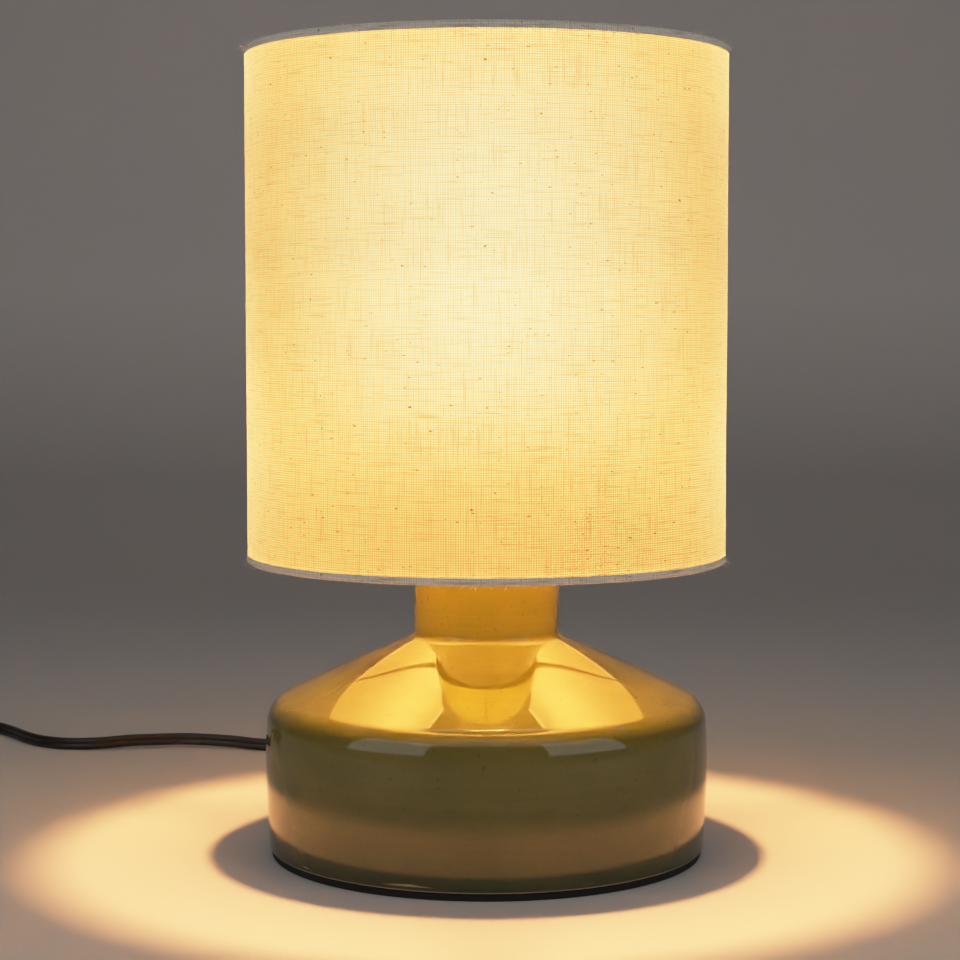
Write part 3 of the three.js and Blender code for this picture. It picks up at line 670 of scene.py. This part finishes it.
def makeSwitch(sizes):
    x, y = sizes["centre"]
    top = sizes["height"]
    flat = roundedBox(sizes["length"], sizes["width"], sizes["corner"])
    half = top / 2
    shell = [(1.6, 0), (0.5, 0.35), (0, 1.4), (0, half - 0.55), (0.35, half - 0.15)]
    lower = moulded("switchBase", flat, shell, "blackPlastic", (x, y, 0))
    edge = [(0.35, half + 0.15), (0, half + 0.55), (0, top - 3.4)]
    crown = [(0.35, top - 2.2), (1.2, top - 1.1), (2.6, top - 0.35), (4.6, top)]
    upper = moulded("switchCover", flat, edge + crown, "blackPlastic", (x, y, 0))
    opening = roundedBox(sizes["wellLength"], sizes["wellWidth"], sizes["wellCorner"])
    carve(upper, moulded("well", opening, [(0, half + 2), (0, top + 3)], "blackPlastic", (x, y, 0)))
    settle(lower, "base", "black_plastic", "switch_base", "switch_contact", "switch_screw_left",
           "switch_screw_right")
    settle(upper, "base", "black_plastic", "switch_cover")
    wing = [(9.4, 1.0), (10, 2.4), (9.6, 4.1), (8.8, 4.6), (5.0, 3.9)]
    profile = [(-3, -3.4), (3, -3.4), *wing, (0, 3.5), *((-px, pz) for px, pz in reversed(wing))]
    tilt = math.radians(sizes["tilt"])
    c, q = math.cos(tilt), math.sin(tilt)
    layers = [(0.45, -5.5), (0.12, -5.3), (0, -4.9), (0, 4.9), (0.12, 5.3), (0.45, 5.5)]
    verts = [(x + px * c - pz * q, y + across, top - sizes["pivot"] + px * q + pz * c)
             for amount, across in layers for px, pz in inset(profile, amount)]
    faces = gridFaces(len(layers), len(profile)) + endFaces(len(layers), len(profile))
    rocker = addMesh("switchRocker", verts, faces, "blackPlastic", 50)
    settle(rocker, "rocker", "black_plastic", "switch_rocker")
    return [lower, upper, rocker]


switchPieces = makeSwitch(switchSizes)

plugSizes = {"start": (-303.6, 187.0, 20.2), "thick": 13.6, "length": 34, "half": 17.5}


def makePlug(sizes):
    half, front = sizes["half"], sizes["length"]
    side = [(0, 6), (6, 7.2), (13, 9.6), (19, 14.4), (23, half), (front - 1.2, half), (front, half - 1.2)]
    flat = [(px, -py) for px, py in side] + [(px, py) for px, py in reversed(side)]
    low, high = -sizes["thick"] / 2, sizes["thick"] / 2
    layers = [(2.2, low), (0.7, low + 0.5), (0.05, low + 1.9), (0, 0), (0.05, high - 1.9),
              (0.7, high - 0.5), (2.2, high)]
    body = moulded("plugBody", flat, layers, "blackPlastic", sizes["start"], 45)
    return settle(body, "base", "black_plastic", "plug_body")


plug = makePlug(plugSizes)

tieSizes = {"radius": 31, "middle": 7.3, "length": 18.3, "height": 13.6, "corner": 2.2, "width": 6,
            "thick": 0.8}


def makeTie(sizes, centre):
    loop = roundedBox(sizes["length"], sizes["height"], sizes["corner"], 5)
    path = [Vector((centre[0] + sizes["radius"] + x, centre[1], sizes["middle"] + z)) for x, z in loop]
    wide, thick = sizes["width"] / 2, sizes["thick"] / 2
    section = [(-wide, -thick), (wide, -thick), (wide, thick), (-wide, thick)]
    across = Vector((0, 1, 0))
    verts = []
    for i, point in enumerate(path):
        along = (path[(i + 1) % len(path)] - path[i - 1]).normalized()
        verts += [point + across * a + along.cross(across) * b for a, b in section]
    faces = gridFaces(len(path), len(section), around=True)
    return settle(addMesh("coilTie", verts, faces, "blackPlastic"), "base", "black_plastic", "coil_tie")


tie = makeTie(tieSizes, coilSizes["centre"])
nodes = frame["nodes"]
print("cord, switch and plug made")

# ceramic body, hollow and open below, and its pad
bodySizes = {"foot": 82.5, "footHeight": 2.8, "belly": 83.95, "bellyHeight": 37, "shoulder": 82.75,
             "shoulderHeight": 56.85, "shoulderRounding": 11.0, "neck": 27.4, "neckBase": 82.3,
             "neckTop": 113, "tubeHole": 5.3, "wall": 5, "haunch": 13.6, "cordHole": 5.2}
padSizes = {"radius": 81.4, "height": 2.5, "edge": 0.35}


def makeCeramic(s):
    wall = s["wall"]
    slopeMiddle = (s["shoulder"] + s["neck"]) / 2 + 0.3  # the cone swells by a hair
    slopeHeight = (s["shoulderHeight"] + s["neckBase"]) / 2 + 0.5
    outer = [
        (s["foot"] - 0.2, s["footHeight"], 0.7), (s["belly"], s["bellyHeight"], 180),
        (s["shoulder"], s["shoulderHeight"], s["shoulderRounding"]), (slopeMiddle, slopeHeight, 150),
        (s["neck"], s["neckBase"], 3.4), (s["neck"], s["neckTop"], 2), (s["tubeHole"], s["neckTop"]),
    ]
    inner = [
        (s["tubeHole"], s["neckTop"] - wall), (s["neck"] - wall, s["neckTop"] - wall, 2),
        (s["neck"] - wall, s["neckBase"] - wall, 4),
        (s["shoulder"] - s["haunch"], s["shoulderHeight"] - wall + 2, 8),
        (s["shoulder"] - wall, s["shoulderHeight"] - s["haunch"], 8),
        (s["belly"] - wall, s["bellyHeight"]), (s["foot"] - wall, s["footHeight"]),
    ]
    body = lathe("ceramicBody", rounded(outer + inner, 4), "glaze", 288, 60)
    hole = lathe("hole", [(0, 0), (s["cordHole"], 0), (s["cordHole"], 20), (0, 20)], "glaze", 40)
    layBack(hole, s["foot"] - 12, cordSizes["exit"][2])
    carve(body, hole, 60)
    return settle(body, "base", "glaze", "ceramic_body")


def makePad(s):
    edge = s["edge"]
    outline = [(0, 0), (s["radius"], 0, edge), (s["radius"], s["height"], edge), (0, s["height"])]
    return settle(lathe("footPad", rounded(outline), "blackFoam", 240), "base", "foam", "base_pad")


makeCeramic(bodySizes)
makePad(padSizes)
print("ceramic made")

# shade
shadeSizes = {"radius": 89.9, "bottom": 112.6, "top": 299.8, "lap": 8.0, "lapLift": 0.35, "ripple": 0.10,
              "hem": 1.62, "hemRipple": 0.05, "hoop": 0.8, "hemMiddle": 88.55, "hoopMiddle": 88.45,
              "bottomHem": 112.45, "topHem": 299.95, "flatHeight": 205}


def makeShadeSheet(s):
    around, up = 400, 40
    length = 2 * math.pi * s["radius"] + s["lap"]
    verts, flats = [], []
    for i in range(around + 1):
        run = length * i / around
        angle = math.pi / 2 + run / s["radius"]
        onLap = (run - (length - s["lap"]) + 2) / 2  # the lap lies on the sheet's other end
        lift = s["lapLift"] * max(0.0, min(1.0, onLap))
        for j in range(up + 1):
            z = s["bottom"] + (s["top"] - s["bottom"]) * j / up
            ripple = s["ripple"] * noise.noise(Vector((3 * math.cos(angle), 3 * math.sin(angle), z / 45)))
            radius = s["radius"] + lift + ripple
            verts.append((radius * math.cos(angle), radius * math.sin(angle), z))
            flats.append((run * mm, z * mm))
    sheet = addCloth("shadeLinen", verts, flats, around + 1, up + 1, "litLinen")
    return settle(sheet, "shade", "linen", "shade_fabric", "shade_liner")


def makeHem(name, s, height, node):
    around, across = 300, 20
    power = 3.2  # a squared-off roll, so that its outer face is nearly upright
    verts, flats = [], []
    for i in range(around + 1):
        angle = math.pi / 2 + 2 * math.pi * i / around
        for j in range(across + 1):
            turn = math.radians(-205 + 410 * j / across)
            place = Vector((20 * math.cos(angle), 20 * math.sin(angle), height + j))
            wide = s["hem"] + s["hemRipple"] * noise.noise(place)
            c, q = math.cos(turn), math.sin(turn)
            wide /= (abs(c) ** power + abs(q) ** power) ** (1 / power)
            tuck = 0.25 if j in (0, across) else 0
            r = s["hemMiddle"] + wide * c - tuck
            verts.append((r * math.cos(angle), r * math.sin(angle), height + wide * q))
            flats.append((2 * math.pi * s["radius"] * i / around * mm, turn * s["hem"] * mm))
    return settle(addCloth(name, verts, flats, around + 1, across + 1, "hemLinen"), "shade", "linen", node)


def makeHoop(name, s, height, node):
    section = [(s["hoopMiddle"] + x, height + z) for x, z in circle(s["hoop"], 12)]
    return settle(lathe(name, section, "whitePaint", 200, 60), "shade", "white_wire", node)


shadeCover = makeShadeSheet(shadeSizes)
hems = [makeHem("bottomHem", shadeSizes, shadeSizes["bottomHem"], "bottom_hem"),
        makeHem("topHem", shadeSizes, shadeSizes["topHem"], "top_hem")]
hoops = [makeHoop("bottomHoop", shadeSizes, shadeSizes["bottomHem"], "bottom_hoop"),
         makeHoop("topHoop", shadeSizes, shadeSizes["topHem"], "top_hoop")]


def makeStrayFibres(name, s, height, side, count, seed):
    draw = random.Random(seed)
    steps, sides = 5, 3
    verts, faces = [], []
    for _ in range(count):
        angle, reach = draw.uniform(0, 2 * math.pi), draw.uniform(1.0, 3.6)
        lean, curl, thick = draw.uniform(-0.9, 0.9), draw.uniform(-0.7, 0.7), draw.uniform(0.09, 0.15)
        root = Vector((s["hemMiddle"] + s["hem"] * 0.9, 0, height + side * s["hem"] * draw.uniform(0.2, 0.8)))
        first = len(verts)
        c, q = math.cos(angle), math.sin(angle)
        for k in range(steps):
            t = k / (steps - 1)
            sideways = lean * reach * t * t + curl * t
            point = root + Vector((0.75 * reach * t, sideways, side * 0.7 * reach * t * (1 - 0.4 * t)))
            for cx, cy in circle(thick * (1 - 0.7 * t), sides):
                x, y = point.x + cx, point.y + cy
                verts.append((x * c - y * q, x * q + y * c, point.z))
        for face in gridFaces(steps, sides) + endFaces(steps, sides):
            faces.append(tuple(first + corner for corner in face))
    return settle(addMesh(name, verts, faces, "hemLinen"), "shade", "linen")


hems += [makeStrayFibres("topFibres", shadeSizes, shadeSizes["topHem"], 1, 320, 11),
         makeStrayFibres("bottomFibres", shadeSizes, shadeSizes["bottomHem"], -1, 200, 12)]


# fitting: hub, three arms, gasket and ribbed collar
fittingSizes = {"bore": 21.5, "hub": 31.5, "gasket": 27, "arms": 3, "wire": 1.3, "weld": 0.8}
collarSizes = {"outer": 28.5, "inner": 21.1, "ribs": 24, "depth": 1.0, "stepsPerRib": 8, "squareness": 3}


def heights(node):
    low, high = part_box(node)
    return low.z / mm, high.z / mm


def flatRing(name, node, inner, outer, material, body, slot):
    low, high = heights(node)
    edge = 0.3 * (high - low)
    outline = [(inner, low, edge), (outer, low, edge), (outer, high, edge), (inner, high, edge)]
    settle(lathe(name, rounded(outline, 30), material, 96), body, slot, node)


def makeFitting(s, rim):
    flatRing("shadeHub", "shade_hub", s["bore"], s["hub"], "whitePaint", "shade", "white_wire")
    flatRing("collarGasket", "collar_gasket", s["bore"], s["gasket"], "greyFibre", "gasket", "grey_fibre")
    hub = heights("shade_hub")[0] + s["weld"]
    stations = [(31.9, hub), (33.4, hub - 0.7), (35.4, hub - 2.3), (60, (hub + rim) / 2), (84.0, rim + 1.9),
                (85.3, rim + 0.6), (86.0, rim + 0.1)]
    for i in range(s["arms"]):
        spin = math.radians(-90 + 360 / s["arms"] * i)
        path = smoothPath([(r * math.cos(spin), r * math.sin(spin), z) for r, z in stations], 5)
        arm = sweep(f"spiderArm{i + 1}", path, circle(s["wire"]), "whitePaint")
        settle(arm, "shade", "white_wire", f"spider_arm_{i + 1}")


def makeCollar(s):
    bottom, top = heights("shade_collar")
    height = top - bottom
    steps = s["ribs"] * s["stepsPerRib"]
    # trim of the ribbed side, height, and trim of the bore
    layers = [(0.5, 0.0, 0.3), (0.1, 0.25, 0.1), (0, 0.8, 0), (0, height - 0.8, 0), (0.1, height - 0.25, 0.1),
              (0.5, height, 0.3)]
    square = s["squareness"]
    verts = []
    for i in range(steps):
        angle = 2 * math.pi * i / steps
        rib = 0.5 + 0.5 * math.tanh(square * math.cos(s["ribs"] * angle)) / math.tanh(square)
        radius = s["outer"] - s["depth"] * (1 - rib)
        outer = [(radius - trim, z) for trim, z, _ in layers]
        inner = [(s["inner"] + trim, z) for _, z, trim in reversed(layers)]
        verts += [(r * math.cos(angle), r * math.sin(angle), bottom + z) for r, z in outer + inner]
    faces = gridFaces(steps, 2 * len(layers), around=True)
    collar = addMesh("shadeCollar", verts, faces, "whitePlastic", 40)
    settle(collar, "collar", "white_plastic", "shade_collar")


makeFitting(fittingSizes, shadeSizes["bottomHem"])
makeCollar(collarSizes)
print("shade made")


# lampholder and bulb
holderSizes = {"tube": 5.3, "cup": 29, "cupWall": 1, "flange": 27.5, "flangeHeight": 1.8, "boss": 17,
               "bossBore": 14, "bore": 17.3, "mouth": 15, "root": 19.15, "crest": 19.85, "rim": 19.9,
               "turns": 11, "pitch": 2.6}


def makeCup(s):
    low, high = heights("neck_cup")
    wall, tube, cup = s["cupWall"], s["tube"], s["cup"]
    outer = [(tube, low), (cup, low, 0.4), (cup, high, 2), (tube, high)]
    inner = [(tube, high - wall), (cup - wall, high - wall, 1), (cup - wall, low + wall, 0.3),
             (tube, low + wall)]
    settle(lathe("neckCup", rounded(outer + inner), "brass", 160), "base", "brass", "neck_cup")


def makeHolderFoot(s):
    low, high = heights("holder_base")
    top = low + s["flangeHeight"]
    outline = [(s["tube"], low), (s["flange"], low, 0.5), (s["flange"], top, 0.5), (s["boss"], top),
               (s["boss"], high, 0.4), (s["bossBore"], high, 0.4), (s["bossBore"], top), (s["tube"], top)]
    settle(lathe("holderFoot", rounded(outline), "whitePlastic", 96), "base", "white_plastic", "holder_base")


def makeHolderShell(s):
    low, high = heights("holder_shell")
    outline = [(s["bore"], low)]
    for i in range(s["turns"]):  # ridges for the collar's thread
        z = low + 1.3 + i * s["pitch"]
        outline += [(s["root"], z), (s["crest"], z + 0.7, 0.2), (s["crest"], z + 1.2, 0.2),
                    (s["root"], z + 1.9)]
    outline += [(s["root"], high - 2.6), (s["rim"], high - 1.6, 0.3), (s["rim"], high, 0.6),
                (s["mouth"], high, 0.6), (s["mouth"], high - 2, 0.3), (s["bore"], high - 2)]
    shell = lathe("holderShell", rounded(outline, 30), "whitePlastic", 96)
    settle(shell, "base", "white_plastic", "holder_shell")


bulbSizes = {"wall": 0.7, "crown": 60, "threads": 4, "threadSteps": 40, "thread": 12.65,
             "threadDepth": 0.42, "capBore": 11.4}


def makeBulbGlass(s):
    low = heights("bulb_glass")[0]
    shape = [(12.4, 0), (12.6, 4), (13.4, 9), (15.0, 15), (16.4, 21), (17.0, 27), (16.9, 33), (16.1, 40),
             (14.5, 48), (12.0, 56), (9.0, 63), (6.0, 68.5), (3.4, 72.4), (1.7, 74.4), (0.6, 75)]
    outer = [(p.x, low + p.y) for p in smoothPath([(r, z, 0) for r, z in shape], 3)]
    inner = []
    for r, z in reversed(outer):
        drop = s["wall"] if z > low + s["crown"] else 0
        inner.append((max(0.3, r - s["wall"]), z - drop))
    settle(lathe("bulbGlass", outer + inner, "bulbGlass", 96, 70), "bulb", "bulb_glass", "bulb_glass")


def makeBulbCap(s):
    bottom, top = heights("bulb_cap")
    turns, steps = s["threads"], s["threadSteps"]
    pitch = (top - bottom) / (turns + 1)
    outline = [(s["capBore"], bottom), (12.2, bottom)]
    for i in range(steps + 1):
        wave = math.cos(2 * math.pi * (i / steps * turns - 0.4))
        outline.append((s["thread"] + s["threadDepth"] * wave, bottom + pitch * (0.35 + turns * i / steps)))
    outline += [(12.25, top - 0.8), (12.6, top), (s["capBore"], top)]
    settle(lathe("bulbCap", outline, "nickel", 96, 60), "bulb", "nickel", "bulb_cap")


makeCup(holderSizes)
makeHolderFoot(holderSizes)
makeHolderShell(holderSizes)
makeBulbGlass(bulbSizes)
makeBulbCap(bulbSizes)

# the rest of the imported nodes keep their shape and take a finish
slotFinish = {"zinc": "zinc", "white_plastic": "whitePlastic", "core_ceramic": "coreCeramic",
              "brass": "brass", "black_plastic": "blackPlastic", "cord_sheath": "cordSheath",
              "nickel": "nickel", "solder": "solder", "bulb_glass": "bulbGlass", "filament": "filament",
              "linen": "hemLinen", "shade_film": "whitePaint", "white_wire": "whitePaint",
              "grey_fibre": "greyFibre", "glaze": "glaze", "foam": "blackFoam"}
for part in frame["record"]["subparts"]:
    for slot in nodes[part["node"]].material_slots:
        slot.material = materials[slotFinish[part["material_slot"]]]
print("lampholder and bulb made")

# light in the bulb, studio lights, floor and backdrop
bulbLight = {"height": 232, "radius": 16, "power": 10, "color": (1.0, 0.44, 0.14)}
insideLight = ("bulb_stem", "filament_1", "filament_2", "filament_3", "filament_4")
panel = dict(power=0.65, color=(0.97, 0.98, 1.0), aim=(0, 0, 308), size=(0.42, 0.50))
studio = [
    dict(panel, name="leftPanel", place=(-430, -365, 308)),
    dict(panel, name="rightPanel", place=(430, -365, 308)),
    dict(name="ceiling", power=2.5, color=(1.0, 0.97, 0.95), place=(0, -900, 1300), aim=(0, 100, 200),
         size=(2.0, 0.8)),
    dict(name="wallWash", power=3.4, color=(1.0, 0.97, 0.94), place=(0, 500, 1500), aim=(0, 1300, 500),
         size=(2.4, 0.5)),
]
roomLight = {"color": (0.9, 0.95, 1.0), "strength": 0.02}


def placeLight(name, kind, power, color, place):
    data = bpy.data.lights.new(name, kind)
    data.energy = power
    data.color = color
    light = bpy.data.objects.new(name, data)
    light.location = Vector(place) * mm
    bpy.context.collection.objects.link(light)
    return light


def makeBulbLight(look):
    light = placeLight("bulbGlow", "POINT", look["power"], look["color"], (0, 0, look["height"]))
    light.data.shadow_soft_size = look["radius"] * mm
    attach(light, "bulb")
    # what stands inside the light would hide most of it
    for piece in [nodes[name] for name in insideLight] + [bpy.data.objects["bulbGlass"]]:
        piece.visible_shadow = False


def makePanel(name, power, color, place, aim, size):
    light = placeLight(name, "AREA", power, color, place)
    light.data.shape = "RECTANGLE"
    light.data.size, light.data.size_y = size
    light.rotation_euler = (Vector(aim) - Vector(place)).to_track_quat("-Z", "Y").to_euler()


def makeRoomLight(look):
    world = bpy.data.worlds.new("studio")
    bpy.context.scene.world = world
    world.use_nodes = True
    background = world.node_tree.nodes["Background"]
    background.inputs["Color"].default_value = (*look["color"], 1)
    background.inputs["Strength"].default_value = look["strength"]


makeBulbLight(bulbLight)
for light in studio:
    makePanel(**light)
makeRoomLight(roomLight)

sweepSizes = {"width": 3600, "front": -1500, "bend": 700, "radius": 500, "top": 2600, "bendSteps": 24}
paperLook = {
    "tints": [(0.3, (0.60, 0.585, 0.575)), (0.7, (0.64, 0.625, 0.615))],
    "paintedLightRun": 2.4,  # metres back over the floor and up the wall that the painted shade and light run over
    # painted shade on the floor behind the lamp, then painted light up the wall
    "paintedShadeAndLight": [(0.12, (1, 1, 1)), (0.34, (0.70, 0.675, 0.66)), (0.43, (0.68, 0.655, 0.64)),
             (0.56, (1.08, 1.05, 1.05)), (0.90, (1.08, 1.05, 1.05))],
}


def makePaper(look):
    material, tree = newMaterial("backdropPaper")
    grain = noiseAt(tree, 900, detail=3)
    cloud = noiseAt(tree, 3, detail=2)
    surface = put(tree, "BsdfPrincipled", Roughness=0.75)
    tint = ramp(tree, summed(tree, grain, 0.3, cloud, 0.7), look["tints"])
    # painted shade and light: the tint darkens, then brightens, with distance back and up
    run = math2(tree, "ADD", coordinate(tree, "Object", "Y"), coordinate(tree, "Object", "Z"))
    tone = toned(tree, tint, 1.0, ranged(tree, run, 0, 1, 0.0, look["paintedLightRun"]), look["paintedShadeAndLight"])
    wire(tree, tone, surface, "Base Color")
    wire(tree, bumped(tree, grain, 0.1, 0.1), surface, "Normal")
    finished(tree, surface)
    return material


def makeBackdrop(s):
    line = [(s["front"], 0), (s["bend"], 0)]
    for k in range(1, s["bendSteps"] + 1):
        angle = math.pi / 2 * k / s["bendSteps"]
        line.append((s["bend"] + s["radius"] * math.sin(angle), s["radius"] * (1 - math.cos(angle))))
    line.append((s["bend"] + s["radius"], s["top"]))
    half = s["width"] / 2
    verts = [(x, y, z) for y, z in line for x in (-half, half)]
    faces = [(2 * i, 2 * i + 1, 2 * i + 3, 2 * i + 2) for i in range(len(line) - 1)]
    backdrop = addMesh("backdrop", verts, faces, "paper", 80)


materials["paper"] = makePaper(paperLook)
makeBackdrop(sweepSizes)
print("stage made")
